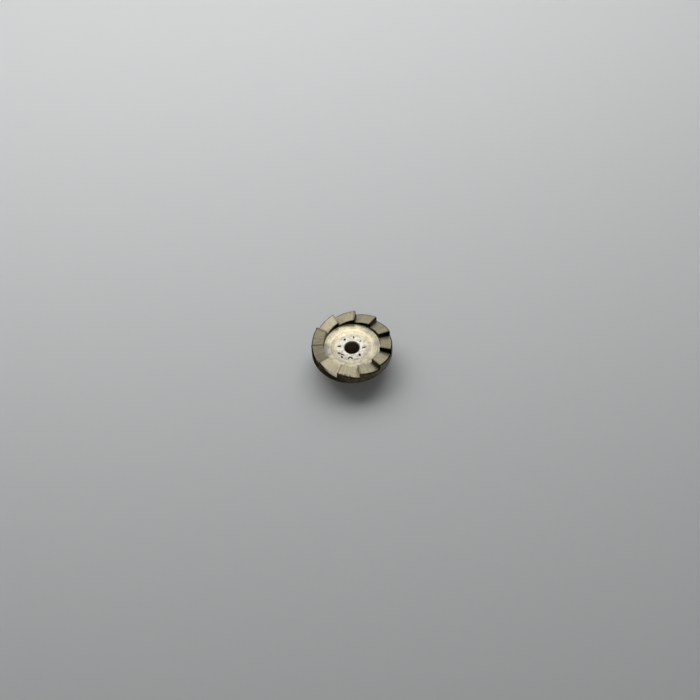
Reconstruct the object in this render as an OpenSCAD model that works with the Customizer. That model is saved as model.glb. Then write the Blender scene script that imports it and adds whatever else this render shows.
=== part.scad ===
// Watch pinion: a wheel with face ratchet teeth, riveted onto a hollow leaf pinion.
// Millimetres. Z is the axis. The pinion stands on the plane z = 0 with the ratchet teeth up.

/* [Ratchet wheel] */
// Diameter of the rim
wheel_d = 3.2; // [2.8:0.05:4]
// Diameter of the turned recess inside the ring of teeth
recess_d = 2.24; // [1.7:0.02:2.5]
// Thickness of the web under the recess floor
web_t = 0.23; // [0.16:0.01:0.4]
// Height of the ring of teeth above the recess floor
ring_h = 0.335; // [0.28:0.005:0.5]
// Number of ratchet teeth
tooth_count = 11; // [7:1:16]
// Height of a tooth's upright wall at the rim
tooth_depth = 0.25; // [0.1:0.01:0.27]
// Width of the flat land along a tooth's tip
tip_land = 0.02; // [0.01:0.005:0.06]
// Angle from X to the first tooth's upright wall
tooth_phase = 82.5; // [0:0.5:360]
// Chamfer round the lower edge of the rim
rim_chamfer = 0.04; // [0.01:0.005:0.1]

/* [Leaf pinion] */
// Number of leaves
leaf_count = 8; // [6:1:10]
// Diameter over the leaf tips
leaf_d = 1.42; // [1.36:0.02:1.8]
// Diameter at the bottom of the leaf spaces
root_d = 0.8; // [0.74:0.01:0.9]
// Angle between the two flanks of a leaf, which point at the axis
leaf_angle = 18; // [12:1:24]
// Length of the leaves under the wheel
leaf_len = 0.63; // [0.4:0.01:1.2]
// Angle from X to the middle of the first leaf
leaf_phase = 16; // [0:0.5:60]
// Chamfer on the lower ends of the leaves
leaf_chamfer = 0.06; // [0.02:0.01:0.12]
// Diameter of the bore
bore_d = 0.57; // [0.4:0.01:0.62]
// Chamfer at both ends of the bore
bore_chamfer = 0.03; // [0.01:0.005:0.05]

/* [Riveted seat] */
// Diameter of the hole in the web, which the seat of the pinion fills
seat_d = 1.08; // [0.98:0.01:1.2]
// Diameter of the rivet where it meets the recess floor
rivet_d = 1.3; // [1.24:0.01:1.6]
// Depth of the countersink that the rivet fills
rivet_depth = 0.1; // [0.05:0.01:0.14]
// Height of the rivet's face above the recess floor
rivet_rise = 0.015; // [0.005:0.005:0.04]
// Width of the slits that are left between the leaves in the rivet's face
slit_w = 0.05; // [0.03:0.005:0.1]

/* [Hidden] */
$fn = 128;
// How far a cutting shape runs past the face that it opens
overcut = 0.01;

wheel_r = wheel_d / 2;
recess_r = recess_d / 2;
leaf_r = leaf_d / 2;
root_r = root_d / 2;
bore_r = bore_d / 2;
seat_r = seat_d / 2;
rivet_r = rivet_d / 2;

// Heights of the recess floor, the tooth tips, the rivet's underside and its face
floor_z = leaf_len + web_t;
tip_z = floor_z + ring_h;
countersink_z = floor_z - rivet_depth;
rivet_z = floor_z + rivet_rise;

// Each ramp falls by the tooth depth from its tip land to the foot of the next wall
tooth_pitch = 360 / tooth_count;
ramp_slope = atan(tooth_depth / (wheel_r * sin(tooth_pitch) - tip_land));

// Each leaf's tip is a round that meets both flanks without a corner
leaf_pitch = 360 / leaf_count;
leaf_half = leaf_angle / 2;
tip_centre_r = leaf_r / (1 + sin(leaf_half));
flank_end_r = tip_centre_r * cos(leaf_half);

// The wheel as it is turned, with its recess, its hole and the countersink for the rivet
module wheel_blank()
    rotate_extrude()
        polygon([
            [seat_r, leaf_len],
            [wheel_r - rim_chamfer, leaf_len],
            [wheel_r, leaf_len + rim_chamfer],
            [wheel_r, tip_z],
            [recess_r, tip_z],
            [recess_r, floor_z],
            [rivet_r, floor_z],
            [seat_r, countersink_z]
        ]);

// The space over one ramp. X lies along the wall at the ramp's high end, at the height of the tips,
// and the ramp falls towards the foot of the neighbouring wall.
module ramp_space() {
    reach = wheel_d;
    sector = [[0, 0], [reach, 0], [reach * cos(tooth_pitch), reach * sin(tooth_pitch)]];
    intersection() {
        translate([0, tip_land, 0])
            rotate([-ramp_slope, 0, 0])
                cube([reach, reach, 2 * ring_h]);
        translate([0, 0, -ring_h])
            linear_extrude(2 * ring_h)
                polygon(sector);
    }
}

// Steel wheel: the blank with a ring of face ratchet teeth that rise clockwise, seen from above
module ratchet_wheel()
    color([0.73, 0.69, 0.59])
        difference() {
            wheel_blank();
            for (k = [0 : tooth_count - 1])
                translate([0, 0, tip_z])
                    rotate(tooth_phase - k * tooth_pitch)
                        ramp_space();
        }

// The pinion as it is turned and riveted, before its leaves are cut
module pinion_blank()
    rotate_extrude()
        polygon([
            [bore_r + bore_chamfer, 0],
            [leaf_r - leaf_chamfer, 0],
            [leaf_r, leaf_chamfer],
            [leaf_r, leaf_len],
            [seat_r, leaf_len],
            [seat_r, countersink_z],
            [rivet_r, floor_z],
            [rivet_r - rivet_rise, rivet_z],
            [bore_r + bore_chamfer, rivet_z],
            [bore_r, rivet_z - bore_chamfer],
            [bore_r, bore_chamfer]
        ]);

// Section across the leaves
module leaf_section() {
    circle(r = root_r);
    for (k = [0 : leaf_count - 1])
        rotate(leaf_phase + k * leaf_pitch) {
            polygon([
                [bore_r * cos(leaf_half), -bore_r * sin(leaf_half)],
                [flank_end_r * cos(leaf_half), -flank_end_r * sin(leaf_half)],
                [flank_end_r * cos(leaf_half), flank_end_r * sin(leaf_half)],
                [bore_r * cos(leaf_half), bore_r * sin(leaf_half)]
            ]);
            translate([tip_centre_r, 0])
                circle(r = tip_centre_r * sin(leaf_half));
        }
}

// Hollow steel pinion: leaves below the wheel, a seat in its hole, and a riveted end
module leaf_pinion()
    color([0.85, 0.84, 0.8])
        difference() {
            intersection() {
                pinion_blank();
                union() {
                    linear_extrude(countersink_z)
                        leaf_section();
                    translate([0, 0, countersink_z])
                        cylinder(r = leaf_r, h = rivet_depth + rivet_rise + overcut);
                }
            }
            for (k = [0 : leaf_count - 1])
                rotate(leaf_phase + (k + 0.5) * leaf_pitch)
                    translate([root_r, -slit_w / 2, countersink_z - overcut])
                        cube([seat_r - root_r, slit_w, rivet_depth + rivet_rise + 2 * overcut]);
        }

ratchet_wheel();
leaf_pinion();
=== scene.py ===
# Watch pinion: a steel wheel with face ratchet teeth, riveted onto a hollow leaf pinion.

import math

import bmesh
import bpy
from mathutils import Matrix, Vector


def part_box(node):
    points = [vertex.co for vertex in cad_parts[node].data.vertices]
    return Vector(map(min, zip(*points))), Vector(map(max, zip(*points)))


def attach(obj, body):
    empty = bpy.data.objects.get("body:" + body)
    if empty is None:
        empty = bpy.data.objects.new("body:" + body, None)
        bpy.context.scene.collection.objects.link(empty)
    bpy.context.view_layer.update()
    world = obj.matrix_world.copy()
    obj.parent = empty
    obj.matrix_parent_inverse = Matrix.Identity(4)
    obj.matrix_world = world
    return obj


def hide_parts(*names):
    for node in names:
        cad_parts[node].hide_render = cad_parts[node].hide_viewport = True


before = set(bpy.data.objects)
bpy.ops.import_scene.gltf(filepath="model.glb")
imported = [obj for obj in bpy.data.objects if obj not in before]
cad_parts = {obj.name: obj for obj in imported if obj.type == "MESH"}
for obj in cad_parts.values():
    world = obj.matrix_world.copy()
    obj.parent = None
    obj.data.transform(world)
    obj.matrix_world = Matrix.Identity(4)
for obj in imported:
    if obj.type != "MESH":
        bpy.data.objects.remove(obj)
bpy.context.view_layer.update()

# The leaf pinion: hardened steel, turned hollow, cut with leaves that have radial flanks and round tips,
# and polished. It stands on its lower end, and its upper end goes through the wheel and is hammered over
# on the recess floor, where the leaf spaces stay as short dark pits.
mm = 0.001
hair = 0.001 * mm
pinion_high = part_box("leaf_pinion")[1]
wheel_low, wheel_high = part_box("ratchet_wheel")
leaf_count = 8
leaf_pitch = math.tau / leaf_count
leaf_phase = math.radians(16)
leaf_half_angle = math.radians(9)
leaf_tip_r = 0.71 * mm
leaf_root_r = 0.40 * mm
leaf_chamfer = 0.06 * mm
leaf_end_gap = 0.002 * mm
columns_per_leaf = 80
half_leaf_columns = 16
shoulder_z = wheel_low.z
bore_r = 0.285 * mm
bore_chamfer = 0.03 * mm
mouth_round = 0.045 * mm
seat_r = 0.54 * mm
rivet_r = 0.65 * mm
rivet_depth = 0.10 * mm
rivet_rise = 0.015 * mm
rivet_rings = 56
crown_width = 0.15 * mm
cup_depth = 0.010 * mm
round_steps = 4
rivet_z = pinion_high.z
floor_z = rivet_z - rivet_rise
countersink_z = floor_z - rivet_depth
leaf_end_z = countersink_z - leaf_end_gap
tip_centre_r = leaf_tip_r / (1 + math.sin(leaf_half_angle))
chamfer_r = leaf_tip_r - leaf_chamfer
face_inner_r = bore_r + mouth_round
mouth_z = rivet_z - cup_depth - mouth_round


def spin_section(stations, angle, steps):
    """Turns a closed section, given as (radius, height) stations, about the axis."""
    bm = bmesh.new()
    section = [bm.verts.new((r, 0, z)) for r, z in stations]
    edges = [bm.edges.new(pair) for pair in zip(section, section[1:] + section[:1])]
    bmesh.ops.spin(
        bm, geom=section + edges, cent=(0, 0, 0), axis=(0, 0, 1), dvec=(0, 0, 0),
        angle=angle, steps=steps, use_merge=math.isclose(angle, math.tau),
    )
    return bm


def steps_between(start, end, steps):
    """Evenly spaced values from start to end, both included."""
    return [start + (end - start) * k / steps for k in range(steps + 1)]


def rounded(centre_r, centre_z, reach, start, end):
    """Stations on an arc of a section, from one angle in degrees to another."""
    turns = [math.radians(a) for a in steps_between(start, end, round_steps)]
    return [(centre_r + reach * math.cos(a), centre_z + reach * math.sin(a)) for a in turns]


def polar(v):
    """Radius of a vertex about the axis and its angle from X."""
    return math.hypot(v.co.x, v.co.y), math.atan2(v.co.y, v.co.x)


def place(v, r, angle, z):
    v.co = (r * math.cos(angle), r * math.sin(angle), z)


def turn_piece(bm, angle):
    """Turns a whole mesh about the axis."""
    bmesh.ops.rotate(bm, verts=bm.verts, cent=(0, 0, 0), matrix=Matrix.Rotation(angle, 3, "Z"))


def rivet_height(r):
    """Height of the riveted face: a low crown that meets the floor, cupped towards the bore."""
    inwards = rivet_r - r
    if inwards < crown_width:
        return floor_z + rivet_rise * math.sin(math.pi / 2 * inwards / crown_width)
    return rivet_z - cup_depth * (inwards - crown_width) / (rivet_r - crown_width - face_inner_r)


pinion_bm = spin_section(
    [(bore_r + bore_chamfer, 0), (chamfer_r, 0), (leaf_tip_r, leaf_chamfer), (leaf_tip_r, shoulder_z)]
    + [(seat_r, shoulder_z), (seat_r, leaf_end_z), (seat_r, countersink_z)]
    + [(r, rivet_height(r)) for r in steps_between(rivet_r, face_inner_r, rivet_rings)]
    + rounded(face_inner_r, mouth_z, mouth_round, 90, 180)[1:]
    + [(bore_r, bore_chamfer)],
    math.tau,
    leaf_count * columns_per_leaf,
)

# Leaf columns crowd towards the flanks, and the first column of each leaf space drops straight to the root
column_angle = leaf_pitch / columns_per_leaf
for v in pinion_bm.verts:
    r, angle = polar(v)
    if v.co.z > leaf_end_z + hair or r < leaf_root_r:
        continue
    turn = round(angle / column_angle)
    leaf = round(turn / columns_per_leaf)
    column = turn - columns_per_leaf * leaf
    from_middle = column * column_angle
    outline_r = leaf_root_r
    if abs(column) <= half_leaf_columns:
        crowding = math.sin(math.pi / 2 * column / half_leaf_columns)
        from_middle = math.asin(math.sin(leaf_half_angle) * crowding)
        crown = math.sqrt(max(0.0, math.sin(leaf_half_angle) ** 2 - math.sin(from_middle) ** 2))
        outline_r = tip_centre_r * (math.cos(from_middle) + crown)
    elif abs(column) == half_leaf_columns + 1:
        from_middle = math.copysign(leaf_half_angle, column)
    kept_r = min(r, outline_r)
    z = v.co.z
    if 0 < z <= leaf_chamfer:
        z = max(0.0, kept_r - chamfer_r)
    place(v, kept_r, leaf * leaf_pitch + from_middle, z)
turn_piece(pinion_bm, leaf_phase)

# The riveted face swells over each leaf and is pale there, in a star that fades into the floor. Its pits
# have an angle, a middle radius, a half length, a half width, a lean and a depth, in degrees and mm.
pits = [
    (357, 0.476, 0.064, 0.017, 14, 0.045),
    (40, 0.449, 0.050, 0.018, 0, 0.014),
    (80, 0.512, 0.050, 0.017, 10, 0.045),
    (124, 0.492, 0.040, 0.028, -60, 0.05),
    (170, 0.509, 0.070, 0.019, 4, 0.045),
    (206, 0.577, 0.050, 0.020, -50, 0.035),
    (221, 0.505, 0.060, 0.024, -54, 0.024),
    (227, 0.620, 0.038, 0.030, 0, 0.05),
    (256, 0.510, 0.060, 0.018, -30, 0.038),
    (266, 0.510, 0.060, 0.018, 36, 0.038),
    (308, 0.470, 0.050, 0.029, -20, 0.05),
]
black_depth = 0.035
swell = 0.008 * mm
star_r = 0.52 * mm
star_point = 0.08 * mm
star_fade = 0.07 * mm
least_metal = 0.012 * mm
# Each pit is darkened by its depth: painted shade with grime
pit_shade_and_grime = pinion_bm.verts.layers.float.new("pit_shade_and_grime")
rivet_star = pinion_bm.verts.layers.float.new("rivet_star")
for v in pinion_bm.verts:
    r, angle = polar(v)
    if v.co.z < floor_z - hair or r < face_inner_r - hair:
        continue
    over_leaf = math.cos(leaf_count * (angle - leaf_phase))
    inside_star = 0.5 + (star_r + star_point * over_leaf - r) / (2 * star_fade)
    v[rivet_star] = min(1.0, max(0.0, inside_star))
    rise = swell * over_leaf * math.sin(math.pi * (r - face_inner_r) / (rivet_r - face_inner_r))
    for pit_angle, pit_r, half_length, half_width, lean, depth in pits:
        turned = angle - math.radians(pit_angle)
        out = r / mm * math.cos(turned) - pit_r
        side = r / mm * math.sin(turned)
        tilt = math.radians(lean)
        along = (out * math.cos(tilt) + side * math.sin(tilt)) / half_length
        across = (side * math.cos(tilt) - out * math.sin(tilt)) / half_width
        sunk = math.exp(-(along ** 4) - across ** 2)
        rise -= depth * mm * sunk
        v[pit_shade_and_grime] = max(v[pit_shade_and_grime], sunk * min(1.0, depth / black_depth))
    underside_z = countersink_z + rivet_depth * max(0.0, (r - seat_r) / (rivet_r - seat_r))
    v.co.z = max(v.co.z + rise, min(v.co.z, underside_z + least_metal))

# The leaves are polished, the rivet is hammered, and the bore keeps the dull lines of the drill
polished, hammered, drilled = range(3)
rivet_side = 0.09 * mm
for face in pinion_bm.faces:
    middle = face.calc_center_median()
    if math.hypot(middle.x, middle.y) < face_inner_r:
        face.material_index = drilled
    elif middle.z > floor_z - rivet_side:
        face.material_index = hammered
    else:
        face.material_index = polished


def finish_piece(name, bm, node):
    """Closes a mesh and makes it an object of the one rigid body, in place of a CAD node."""
    closing_gap = 0.0001 * mm
    sharp_angle = math.radians(40)
    bmesh.ops.remove_doubles(bm, verts=bm.verts, dist=closing_gap)
    bmesh.ops.recalc_face_normals(bm, faces=bm.faces)
    mesh = bpy.data.meshes.new(name)
    bm.to_mesh(mesh)
    bm.free()
    mesh.shade_smooth()
    mesh.set_sharp_from_angle(angle=sharp_angle)
    piece = bpy.data.objects.new(name, mesh)
    bpy.context.collection.objects.link(piece)
    piece.modifiers.new("flat_faces_stay_flat", "WEIGHTED_NORMAL").keep_sharp = True
    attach(piece, "root")
    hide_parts(node)
    return piece


pinion = finish_piece("leaf_pinion_steel", pinion_bm, "leaf_pinion")


def metal(name):
    """A bare metal material, ready for its colour and its marks."""
    material = bpy.data.materials.new(name)
    material.use_nodes = True
    tree = material.node_tree
    shader = tree.nodes["Principled BSDF"]
    shader.inputs["Metallic"].default_value = 1.0
    return material, tree, shader


def join(tree, value, socket):
    """Links a node's output to a socket, or sets a plain value on it."""
    if isinstance(value, bpy.types.NodeSocket):
        tree.links.new(value, socket)
    else:
        socket.default_value = value


def sum_node(tree, operation, a, b=0.0):
    node = tree.nodes.new("ShaderNodeMath")
    node.operation = operation
    join(tree, a, node.inputs[0])
    join(tree, b, node.inputs[1])
    return node.outputs[0]


def plus(tree, first, *others):
    for value in others:
        first = sum_node(tree, "ADD", first, value)
    return first


def minus(tree, first, *others):
    for value in others:
        first = sum_node(tree, "SUBTRACT", first, value)
    return first


def times(tree, first, second):
    return sum_node(tree, "MULTIPLY", first, second)


def axis_coordinates(tree):
    """Radius about the axis, angle from X, height, and the plain coordinates of the piece."""
    spot = tree.nodes.new("ShaderNodeTexCoord").outputs["Object"]
    parts = tree.nodes.new("ShaderNodeSeparateXYZ")
    tree.links.new(spot, parts.inputs[0])
    x, y, z = parts.outputs
    radius = sum_node(tree, "SQRT", plus(tree, times(tree, x, x), times(tree, y, y)))
    return radius, sum_node(tree, "ARCTAN2", y, x), z, spot


def speckle(tree, spot, scale, detail):
    """Noise in three directions, about the same size each way."""
    node = tree.nodes.new("ShaderNodeTexNoise")
    tree.links.new(spot, node.inputs["Vector"])
    node.inputs["Scale"].default_value = scale
    node.inputs["Detail"].default_value = detail
    return node.outputs["Fac"]


def scratches(tree, across, across_scale, spot, along_scale, detail):
    """Noise that changes fast along one measure and slowly elsewhere, as a tool or a stone leaves it."""
    drawn_out = tree.nodes.new("ShaderNodeVectorMath")
    drawn_out.operation = "SCALE"
    tree.links.new(spot, drawn_out.inputs[0])
    drawn_out.inputs["Scale"].default_value = along_scale
    fast = tree.nodes.new("ShaderNodeCombineXYZ")
    tree.links.new(times(tree, across, across_scale), fast.inputs[0])
    both = tree.nodes.new("ShaderNodeVectorMath")
    both.operation = "ADD"
    tree.links.new(drawn_out.outputs[0], both.inputs[0])
    tree.links.new(fast.outputs[0], both.inputs[1])
    return speckle(tree, both.outputs[0], 1.0, detail)


def painted(tree, layer):
    """A value that the mesh carries at its vertices."""
    node = tree.nodes.new("ShaderNodeAttribute")
    node.attribute_name = layer
    return node.outputs["Fac"]


def spread(tree, value, low, high, to_low, to_high):
    """Maps a range of a value onto another, held at both ends."""
    node = tree.nodes.new("ShaderNodeMapRange")
    tree.links.new(value, node.inputs["Value"])
    for name, number in zip(("From Min", "From Max", "To Min", "To Max"), (low, high, to_low, to_high)):
        node.inputs[name].default_value = number
    return node.outputs["Result"]


def near(tree, spot, x, y, full, end, inside, outside):
    """A value that changes between two distances, in mm, from a point at the height of the recess floor."""
    node = tree.nodes.new("ShaderNodeVectorMath")
    node.operation = "DISTANCE"
    tree.links.new(spot, node.inputs[0])
    node.inputs[1].default_value = (x * mm, y * mm, floor_z)
    return spread(tree, node.outputs["Value"], full * mm, end * mm, inside, outside)


def shade(tree, factor, first, second):
    """A colour between two, each plain or from another node."""
    node = tree.nodes.new("ShaderNodeMix")
    node.data_type = "RGBA"
    join(tree, factor, node.inputs[0])
    for colour, socket in ((first, node.inputs[6]), (second, node.inputs[7])):
        join(tree, colour if isinstance(colour, bpy.types.NodeSocket) else (*colour, 1), socket)
    return node.outputs[2]


def dress(tree, shader, colour, roughness, relief, relief_depth):
    """Gives a metal its colour, its roughness and the fine relief of its marks."""
    join(tree, colour, shader.inputs["Base Color"])
    join(tree, roughness, shader.inputs["Roughness"])
    bump = tree.nodes.new("ShaderNodeBump")
    bump.inputs["Distance"].default_value = relief_depth
    tree.links.new(relief, bump.inputs["Height"])
    tree.links.new(bump.outputs[0], shader.inputs["Normal"])


grey_polish = (0.62, 0.58, 0.49)
bright_polish = (0.74, 0.71, 0.62)
polished_steel, tree, shader = metal("polished_steel")
_, angle, _, spot = axis_coordinates(tree)
polish_lines = scratches(tree, angle, 160, spot, 2500, detail=4)
film = spread(tree, speckle(tree, spot, 5000, detail=3), 0.35, 0.7, 0, 1)
polish_tone = shade(tree, film, grey_polish, bright_polish)
polish_gloss = spread(tree, polish_lines, 0.3, 0.7, 0.2, 0.36)
dress(tree, shader, polish_tone, polish_gloss, polish_lines, 0.0015 * mm)
pinion.data.materials.append(polished_steel)

dull_border = (0.34, 0.312, 0.25)
pale_border = (0.55, 0.505, 0.40)
dull_star = (0.34, 0.325, 0.28)
pale_star = (0.575, 0.555, 0.48)
pit_black = (0.035, 0.03, 0.022)
hammered_steel, tree, shader = metal("hammered_steel")
_, _, _, spot = axis_coordinates(tree)
dents = speckle(tree, spot, 11000, detail=2)
scuffs = speckle(tree, spot, 42000, detail=4)
# Painted light and shade: the hammered face is lighter towards the back and darker towards the front
back_light_front_shade = near(tree, spot, -0.05, 0.5, 0.68, 1.02, -0.09, 0.12)
dent_tone = spread(tree, minus(tree, dents, back_light_front_shade), 0.37, 0.63, 0, 1)
border_tone = shade(tree, dent_tone, dull_border, pale_border)
star_tone = shade(tree, dent_tone, dull_star, pale_star)
face_tone = shade(tree, painted(tree, "rivet_star"), border_tone, star_tone)
# Painted shade with grime in the pits, by their depth
pit_shade_and_grime_share = spread(tree, painted(tree, "pit_shade_and_grime"), 0.05, 0.45, 0, 1)
rivet_tone = shade(tree, pit_shade_and_grime_share, face_tone, pit_black)
rivet_gloss = spread(tree, scuffs, 0.3, 0.7, 0.38, 0.5)
dress(tree, shader, rivet_tone, rivet_gloss, plus(tree, dents, times(tree, scuffs, 0.15)), 0.005 * mm)
pinion.data.materials.append(hammered_steel)

dark_bore = (0.18, 0.155, 0.125)
pale_bore = (0.40, 0.35, 0.285)
bore_steel, tree, shader = metal("bore_steel")
_, _, height, spot = axis_coordinates(tree)
drill_lines = scratches(tree, height, 40000, spot, 2000, detail=3)
bore_tone = shade(tree, drill_lines, dark_bore, pale_bore)
dress(tree, shader, bore_tone, 0.5, drill_lines, 0.003 * mm)
pinion.data.materials.append(bore_steel)

# The ratchet wheel: steel, turned with a recess, a countersunk hole and a flat underside. Its ring is
# milled and ground into ratchet teeth whose ramps rise clockwise to a narrow land and end in an upright
# wall, and walls and rim keep a dark hardened skin. The rivet holds it on the shoulder of the leaves.
wheel_r = wheel_high.x
tip_z = wheel_high.z
recess_r = 1.12 * mm
rim_chamfer = 0.04 * mm
tooth_count = 11
tooth_pitch = math.tau / tooth_count
tooth_phase = math.radians(82.5)
tooth_depth = 0.25 * mm
tip_land = 0.02 * mm
outer_break = 0.042 * mm
inner_break = 0.028 * mm
edge_round = 0.012 * mm
floor_fillet = 0.02 * mm
dish_rise = 0.04 * mm
ramp_slope = tooth_depth / (wheel_r * math.sin(tooth_pitch) - tip_land)
ramp_steps = 96
ramp_rings = 14
floor_rings = 16
tooth_seam = 0.0005 * mm
wall_foot_r = recess_r - floor_fillet
wall_foot_z = floor_z + dish_rise


def floor_height(r):
    """Height of the recess floor, which is turned in a shallow dish."""
    return floor_z + dish_rise * ((r - rivet_r) / (wall_foot_r - rivet_r)) ** 2


wheel_bm = spin_section(
    [(seat_r, shoulder_z), (wheel_r - rim_chamfer, shoulder_z), (wheel_r, shoulder_z + rim_chamfer)]
    + rounded(wheel_r - outer_break, tip_z - outer_break, outer_break, 0, 90)
    + [(r, tip_z) for r in steps_between(wheel_r - outer_break, recess_r + inner_break, ramp_rings)[1:-1]]
    + rounded(recess_r + inner_break, tip_z - inner_break, inner_break, 90, 180)
    + rounded(wall_foot_r, wall_foot_z + floor_fillet, floor_fillet, 0, -90)
    + [(r, floor_height(r)) for r in steps_between(wall_foot_r, rivet_r, floor_rings)[1:]]
    + [(seat_r, countersink_z)],
    tooth_pitch,
    ramp_steps,
)

# The ring's top goes down the ramp, and its first columns become the wall's edge, its round and the land
near_wall = [(r, -z) for r, z in rounded(edge_round, -edge_round, edge_round, 180, 90)] + [(tip_land, 0.0)]
land_column = len(near_wall) - 1
ramp_columns = ramp_steps - land_column
ramp_step = tooth_pitch / ramp_steps
for v in wheel_bm.verts:
    r, angle = polar(v)
    edge_drop = outer_break if r > recess_r + inner_break else inner_break
    if v.co.z < tip_z - edge_drop - hair:
        continue
    column = round(angle / ramp_step)
    if column <= land_column:
        from_wall, drop = near_wall[column]
        angle = math.asin(from_wall / r)
    else:
        land_angle = math.asin(tip_land / r)
        angle = land_angle + (column - land_column) / ramp_columns * (tooth_pitch - land_angle)
        drop = ramp_slope * (r * math.sin(angle) - tip_land)
    place(v, r, angle, v.co.z - drop)

# The teeth go round, the rim and the inner wall are cut at the foot of the next ramp, and the walls close
bmesh.ops.spin(
    wheel_bm, geom=wheel_bm.verts[:] + wheel_bm.edges[:] + wheel_bm.faces[:], cent=(0, 0, 0),
    axis=(0, 0, 1), dvec=(0, 0, 0), angle=math.tau - tooth_pitch, steps=tooth_count - 1, use_duplicate=True,
)
wall_top_z = tip_z - 2 * outer_break - edge_round
for edge in [e for e in wheel_bm.edges if e.is_boundary]:
    low, high = sorted(edge.verts, key=lambda v: v.co.z)
    r, angle = polar(low)
    upright = (high.co - low.co).normalized().z > 0.999
    if upright and r > recess_r - hair and high.co.z > wall_top_z:
        edge_drop = outer_break if r > wheel_r - hair else inner_break
        foot_z = tip_z - edge_drop - ramp_slope * (r * math.sin(tooth_pitch) - tip_land)
        bmesh.utils.edge_split(edge, low, (foot_z - low.co.z) / (high.co.z - low.co.z))
bmesh.ops.remove_doubles(wheel_bm, verts=wheel_bm.verts, dist=tooth_seam)
bmesh.ops.holes_fill(wheel_bm, edges=[e for e in wheel_bm.edges if e.is_boundary], sides=0)
turn_piece(wheel_bm, tooth_phase)

# A few nicks dent the outer edge of two teeth: an angle in degrees, a half width, a lean and a depth
nicks = [
    (206.5, 0.030, 0.2, 0.03),
    (211.0, 0.042, -0.3, 0.045),
    (252.6, 0.024, 0.3, 0.02),
    (257.5, 0.048, 0.15, 0.04),
    (261.2, 0.026, -0.2, 0.03),
    (266.2, 0.042, -0.5, 0.055),
]
nick_reach = 0.13 * mm
nick_grime = wheel_bm.verts.layers.float.new("nick_grime")
for v in wheel_bm.verts:
    r, angle = polar(v)
    if v.co.z > floor_z and r > wheel_r - nick_reach:
        for nick_angle, half_width, lean, depth in nicks:
            turned = math.remainder(angle - math.radians(nick_angle), math.tau)
            near_edge = 1 - (wheel_r - r) / nick_reach
            across = abs(turned * r - lean * (wheel_r - r)) / (half_width * mm)
            sunk = near_edge * max(0.0, 1 - across)
            v.co.z -= depth * mm * sunk
            v[nick_grime] = max(v[nick_grime], sunk)

# The ramps are ground, the recess floor and the underside turned, and the rest has its dark skin
ground, turned_face, dark_rim, dark_wall, dark_edge = range(5)
rim_inner_r = wheel_r - max(outer_break, rim_chamfer)
upright_lean = 0.1
wall_lean = 0.3
wheel_bm.normal_update()
for face in wheel_bm.faces:
    middle = face.calc_center_median()
    r = math.hypot(middle.x, middle.y)
    lean = abs(face.normal.z)
    if r > rim_inner_r:
        face.material_index = dark_rim if lean < upright_lean else dark_edge
    elif lean < wall_lean:
        face.material_index = dark_wall
    elif r < recess_r or middle.z < floor_z:
        face.material_index = turned_face
    else:
        face.material_index = ground
wheel = finish_piece("ratchet_wheel_steel", wheel_bm, "ratchet_wheel")

# Each ramp has its own tone and grain, dirt in its nicks, and dirt with painted shade along its foot and
# its land, and one foot has a painted highlight
worn_green = (0.61, 0.558, 0.383)
worn_pink = (0.635, 0.546, 0.408)
dull_green = (0.186, 0.17, 0.115)
dull_pink = (0.198, 0.169, 0.123)
# Colour of the painted highlight on the foot of one ramp
foot_highlight_colour = (0.80, 0.72, 0.56)
# Colour of the painted shade and dirt along the ramps' feet and lands
ramp_shade_and_dirt = (0.05, 0.04, 0.024)
tooth_seed = 3090.0
grain_shift = 3.7
ground_steel, tree, shader = metal("ground_steel")
shader.inputs["Anisotropic"].default_value = 0.6
radius, angle, _, spot = axis_coordinates(tree)
turn = minus(tree, angle, tooth_phase)
from_wall = sum_node(tree, "FLOORED_MODULO", turn, tooth_pitch)
to_foot = times(tree, minus(tree, tooth_pitch, from_wall), radius)
from_land = minus(tree, times(tree, from_wall, radius), tip_land)
turn_count = sum_node(tree, "FLOOR", sum_node(tree, "DIVIDE", turn, tooth_pitch))
tooth = sum_node(tree, "FLOORED_MODULO", turn_count, tooth_count)
tooth_tone = tree.nodes.new("ShaderNodeTexWhiteNoise")
tooth_tone.noise_dimensions = "1D"
tree.links.new(plus(tree, tooth, tooth_seed), tooth_tone.inputs["W"])
pale_tooth = sum_node(tree, "POWER", tooth_tone.outputs["Value"], 3.0)
stroke = plus(tree, from_wall, times(tree, tooth, grain_shift))
coarse_grain = scratches(tree, stroke, 34, spot, 700, detail=4)
fine_grain = scratches(tree, stroke, 170, spot, 2500, detail=4)
stain = speckle(tree, spot, 1800, detail=3)
mottle = speckle(tree, spot, 9000, detail=3)
tint = spread(tree, speckle(tree, spot, 4000, detail=2), 0.4, 0.6, 0, 1)
tint = times(tree, tint, near(tree, spot, -0.2, 1.36, 0.25, 0.5, 0, 1))
tone = plus(tree, times(tree, coarse_grain, 0.5), times(tree, stain, 0.2), times(tree, mottle, 0.3))
tone = spread(tree, plus(tree, tone, times(tree, pale_tooth, 0.6)), 0.35, 1.05, 0, 1)
worn = shade(tree, tint, worn_green, worn_pink)
dull = shade(tree, tint, dull_green, dull_pink)
ramp_tone = shade(tree, tone, dull, worn)
# Painted highlight along the foot of the ramp at the front left
foot_highlight = spread(tree, to_foot, 0.03 * mm, 0.09 * mm, 1, 0)
foot_highlight = times(tree, near(tree, spot, -0.62, -1.3, 0.3, 0.5, 1, 0), foot_highlight)
ramp_tone = shade(tree, foot_highlight, ramp_tone, foot_highlight_colour)
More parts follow.
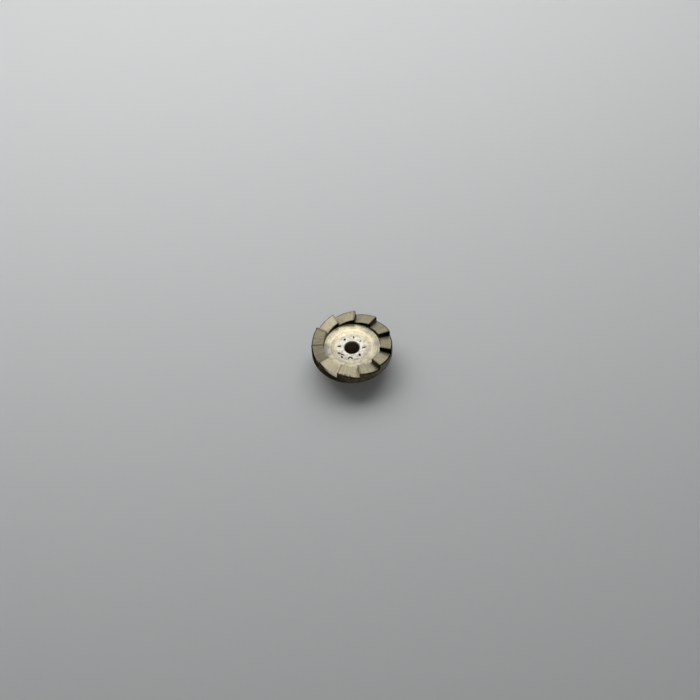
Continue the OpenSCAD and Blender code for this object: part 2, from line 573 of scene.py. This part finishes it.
# Painted shadow of each wall on the foot of the next ramp, with dirt, and painted shade with dirt along
# each land; lighter by the front and away from the right, deeper on the left
front_clear_of_shade_and_dirt = near(tree, spot, -0.2, -1.35, 0.6, 1.0, 1, 0)
foot_clear_of_shade_and_dirt = sum_node(tree, "MAXIMUM", spread(tree, to_foot, 0.01 * mm, 0.07 * mm, 0, 1), front_clear_of_shade_and_dirt)
land_clear_of_shade_and_dirt = spread(tree, from_land, 0.0, 0.06 * mm, 0.2, 1)
away_from_right = near(tree, spot, 1.5, 0.2, 1.0, 1.8, 0, 0.5)
shade_and_dirt_deeper_left = near(tree, spot, -1.3, -0.35, 0.5, 0.7, 0.2, 1)
least_clear_of_shade_and_dirt = times(tree, away_from_right, shade_and_dirt_deeper_left)
clear_of_shade_and_dirt = sum_node(tree, "MAXIMUM", times(tree, foot_clear_of_shade_and_dirt, land_clear_of_shade_and_dirt), least_clear_of_shade_and_dirt)
clear_of_shade_and_dirt = times(tree, clear_of_shade_and_dirt, spread(tree, painted(tree, "nick_grime"), 0.08, 0.4, 1, 0))
ramp_tone = shade(tree, clear_of_shade_and_dirt, ramp_shade_and_dirt, ramp_tone)
ramp_gloss = spread(tree, fine_grain, 0.3, 0.7, 0.42, 0.58)
dress(tree, shader, ramp_tone, ramp_gloss, plus(tree, fine_grain, coarse_grain), 0.002 * mm)
wheel.data.materials.append(ground_steel)

# The floor shows the rings of the lathe under a thin film, brighter by the rivet, with painted light
# towards the back, and darker towards the left
floor_dull = (0.15, 0.142, 0.12)
pale_yellow = (0.595, 0.54, 0.345)
pale_pink = (0.615, 0.535, 0.385)
speck_brown = (0.13, 0.11, 0.085)
speck_scale = 2600
turned_steel, tree, shader = metal("turned_steel")
shader.inputs["Anisotropic"].default_value = 0.3
shader.inputs["Anisotropic Rotation"].default_value = 0.25
radius, _, _, spot = axis_coordinates(tree)
wide_rings = scratches(tree, radius, 10000, spot, 400, detail=3)
fine_rings = scratches(tree, radius, 60000, spot, 600, detail=3)
film = speckle(tree, spot, 2200, detail=4)
mottle = speckle(tree, spot, 9000, detail=3)
near_rivet = spread(tree, radius, 0.68 * mm, 0.84 * mm, 0.17, 0)
# Painted light: the floor is lighter towards the back, where the lamp is, and darker away from it
shade_away_from_back = near(tree, spot, -0.3, 1.5, 0.7, 1.9, 0, 0.45)
# The floor is darker towards the left
darker_left = near(tree, spot, -1.15, -0.05, 0.1, 0.6, 0.36, 0)
tone = plus(tree, wide_rings, times(tree, film, 0.8), times(tree, mottle, 0.5), near_rivet)
tone = spread(tree, minus(tree, tone, shade_away_from_back, darker_left), 0.45, 1.35, 0, 1)
tint = spread(tree, speckle(tree, spot, 3000, detail=2), 0.4, 0.6, 0, 1)
floor_tone = shade(tree, tone, floor_dull, shade(tree, tint, pale_yellow, pale_pink))
specks = tree.nodes.new("ShaderNodeTexVoronoi")
tree.links.new(spot, specks.inputs["Vector"])
specks.inputs["Scale"].default_value = speck_scale
speck = spread(tree, specks.outputs["Distance"], 0.04, 0.075, 0.8, 0.0)
floor_tone = shade(tree, speck, floor_tone, speck_brown)
floor_gloss = spread(tree, fine_rings, 0.3, 0.7, 0.22, 0.34)
dress(tree, shader, floor_tone, floor_gloss, plus(tree, fine_rings, wide_rings), 0.003 * mm)
wheel.data.materials.append(turned_steel)


def dark_skin(name, roughness, darkest, lightest, patches):
    """Skin left dark by the quench, over the lines of the tool, with patches that are blacker or worn."""
    edge_grey = (0.25, 0.25, 0.25, 1)
    gloss_range = 0.08
    material, tree, shader = metal(name)
    shader.inputs["Specular Tint"].default_value = edge_grey
    _, _, height, spot = axis_coordinates(tree)
    tool_lines = scratches(tree, height, 50000, spot, 900, detail=4)
    blotches = speckle(tree, spot, 7000, detail=6)
    tone = plus(tree, times(tree, blotches, 0.7), times(tree, tool_lines, 0.3))
    skin = shade(tree, spread(tree, tone, 0.40, 0.63, 0, 1), darkest, lightest)
    unworn = spread(tree, blotches, 0.36, 0.6, 0.55, 1)
    for x, y, full, end, share, colour in patches:
        patch = times(tree, near(tree, spot, x, y, full, end, share, 0), unworn)
        skin = shade(tree, patch, skin, colour)
    gloss = spread(tree, blotches, 0.3, 0.7, roughness - gloss_range, roughness + gloss_range)
    dress(tree, shader, skin, gloss, plus(tree, tool_lines, blotches), 0.002 * mm)
    wheel.data.materials.append(material)


# A patch has a middle, the reach of its full tone, its whole reach in mm, a share and a colour
black = (0.014, 0.0095, 0.0055)
brown = (0.045, 0.031, 0.01)
left_black = (-1.6, 0.0, 0.4, 1.0, 1, black)
rim_patches = [
    left_black,
    (-0.83, -1.37, 0.2, 0.75, 0.9, black),
    (1.5, -0.6, 0.3, 1.1, 1, (0.36, 0.335, 0.26)),
]
wall_patches = [
    (-1.06, 0.33, 0.38, 0.58, 1, (0.5, 0.42, 0.3)),
    (0.2, -1.4, 0.4, 0.85, 1, (0.6, 0.52, 0.4)),
    (-0.8, 0.77, 0.15, 0.4, 1, brown),
    (0.71, 0.98, 0.12, 0.3, 1, brown),
    (0.2, 1.5, 0.2, 0.34, 1, (0.2, 0.17, 0.12)),
    (0.98, 0.55, 0.28, 0.42, 1, (0.09, 0.07, 0.045)),
    (0.89, 1.04, 0.16, 0.3, 1, (0.25, 0.215, 0.15)),
    (0.82, -0.92, 0.2, 0.42, 1, (0.24, 0.21, 0.125)),
]
edge_patches = [
    left_black,
    (-0.85, -1.36, 0.2, 0.5, 1, (0.62, 0.57, 0.47)),
]
dark_skin("rim_skin", 0.42, (0.075, 0.061, 0.041), (0.19, 0.157, 0.109), rim_patches)
dark_skin("wall_skin", 0.55, (0.004, 0.003, 0.0014), (0.014, 0.0105, 0.005), wall_patches)
dark_skin("edge_skin", 0.45, (0.02, 0.0165, 0.0115), (0.05, 0.041, 0.028), edge_patches)

# The floor: a plain sheet of pale, matt paper, far wider than the picture. The part stands loose on it, on
# the lower end of its leaves.
floor_half = 200 * mm
floor_bm = bmesh.new()
bmesh.ops.create_grid(floor_bm, x_segments=1, y_segments=1, size=floor_half)
floor_mesh = bpy.data.meshes.new("paper_floor")
floor_bm.to_mesh(floor_mesh)
floor_bm.free()
floor = bpy.data.objects.new("paper_floor", floor_mesh)
bpy.context.collection.objects.link(floor)
paper = bpy.data.materials.new("paper")
paper.use_nodes = True
paper_shader = paper.node_tree.nodes["Principled BSDF"]
paper_shader.inputs["Base Color"].default_value = (0.86, 0.87, 0.87, 1)
paper_shader.inputs["Roughness"].default_value = 0.9
paper_shader.inputs["Specular IOR Level"].default_value = 0.2
floor_mesh.materials.append(paper)

# The light: a broad soft panel behind and above the part. A card over it and five white cards low round its
# sides and front are there for the steel to reflect, in a dim room whose walls are paler than its ceiling.


def soft_panel(name, azimuth, elevation, distance, width, height, radiance):
    """A rectangular area light that faces the part, with its place in degrees and metres."""
    light = bpy.data.lights.new(name, "AREA")
    light.shape = "RECTANGLE"
    light.size = width
    light.size_y = height
    light.energy = radiance * math.pi * width * height
    panel = bpy.data.objects.new(name, light)
    bpy.context.collection.objects.link(panel)
    azimuth = math.radians(azimuth)
    elevation = math.radians(elevation)
    outwards = Vector((math.cos(azimuth), math.sin(azimuth), math.tan(elevation))).normalized()
    panel.location = outwards * distance
    panel.rotation_euler = outwards.to_track_quat("Z", "Y").to_euler()
    panel.visible_camera = False
    return panel


soft_panel("back_panel", 100, 48, distance=46 * mm, width=76 * mm, height=36 * mm, radiance=1.95)
top_card = soft_panel("top_card", 95, 75, distance=46 * mm, width=60 * mm, height=14 * mm, radiance=1.4)
top_card.visible_diffuse = False
card_count = 5
card_turn = -45
for card in range(card_count):
    white_card = soft_panel(
        f"white_card_{card}", card_turn * card, 22,
        distance=60 * mm, width=48 * mm, height=40 * mm, radiance=0.8,
    )
    white_card.visible_diffuse = False

wall_glow = 0.16
ceiling_glow = 0.07
world = bpy.data.worlds.new("room")
bpy.context.scene.world = world
world.use_nodes = True
room = world.node_tree
room_light = room.nodes["Background"]
room_light.inputs["Color"].default_value = (0.95, 0.98, 1.0, 1)
sky = room.nodes.new("ShaderNodeSeparateXYZ")
room.links.new(room.nodes.new("ShaderNodeTexCoord").outputs["Generated"], sky.inputs[0])
room_glow = spread(room, sky.outputs["Z"], 0.35, 0.85, wall_glow, ceiling_glow)
room.links.new(room_glow, room_light.inputs["Strength"])

# The camera: a long lens close above the part, looking down on it from the front, and turned a little on
# its own axis.
aim = Vector((-0.083 * mm, -0.1165 * mm, floor_z))
camera_distance = 76.9 * mm
camera_elevation = math.radians(53.54)
camera_roll = math.radians(-2.8)
camera_data = bpy.data.cameras.new("camera")
camera_data.lens = 100
camera_data.sensor_width = 36
camera_data.clip_start = 1 * mm
camera_data.clip_end = 1
camera = bpy.data.objects.new("camera", camera_data)
bpy.context.collection.objects.link(camera)
backwards = Vector((0, -math.cos(camera_elevation), math.sin(camera_elevation)))
upwards = Vector((0, math.sin(camera_elevation), math.cos(camera_elevation)))
sideways = Vector((1, 0, 0))
right = math.cos(camera_roll) * sideways + math.sin(camera_roll) * upwards
up = math.cos(camera_roll) * upwards - math.sin(camera_roll) * sideways
camera_turn = Matrix((right, up, backwards)).transposed().to_4x4()
camera.matrix_world = Matrix.Translation(aim + backwards * camera_distance) @ camera_turn
bpy.context.scene.camera = camera
bpy.context.scene.view_settings.view_transform = "Standard"
